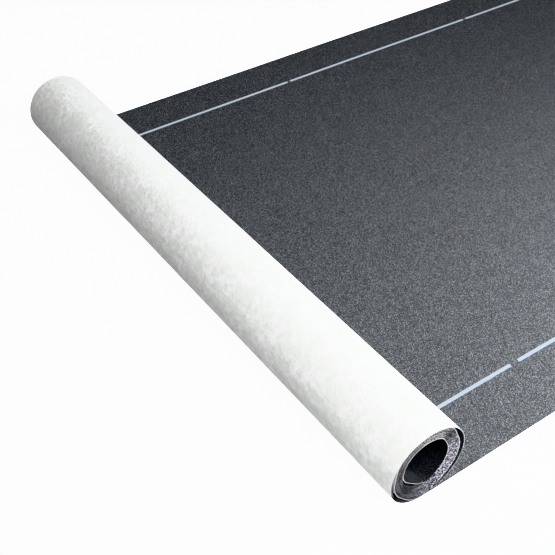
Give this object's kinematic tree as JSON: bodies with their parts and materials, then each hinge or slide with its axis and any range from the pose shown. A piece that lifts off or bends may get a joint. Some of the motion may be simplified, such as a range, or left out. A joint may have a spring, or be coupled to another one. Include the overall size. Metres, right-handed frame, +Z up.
{
  "type": "roll of breather membrane",
  "caption": "Coreless roll of roofing membrane, white outside and dark grey inside, with its free length run out flat on the ground.",
  "frame": {"origin": "on the ground, under the middle of the whole piece", "axes": "+X along the run-out length, away from the roll; +Y along the roll; +Z up"},
  "size_m": [2.0858, 1.5058, 0.172],
  "materials": {
    "membrane": "matt non-woven, white on the outside of the roll and charcoal with pale guide lines on the other face"
  },
  "bodies": {
    "root": {"membrane": "membrane"}
  },
  "joints": []
}
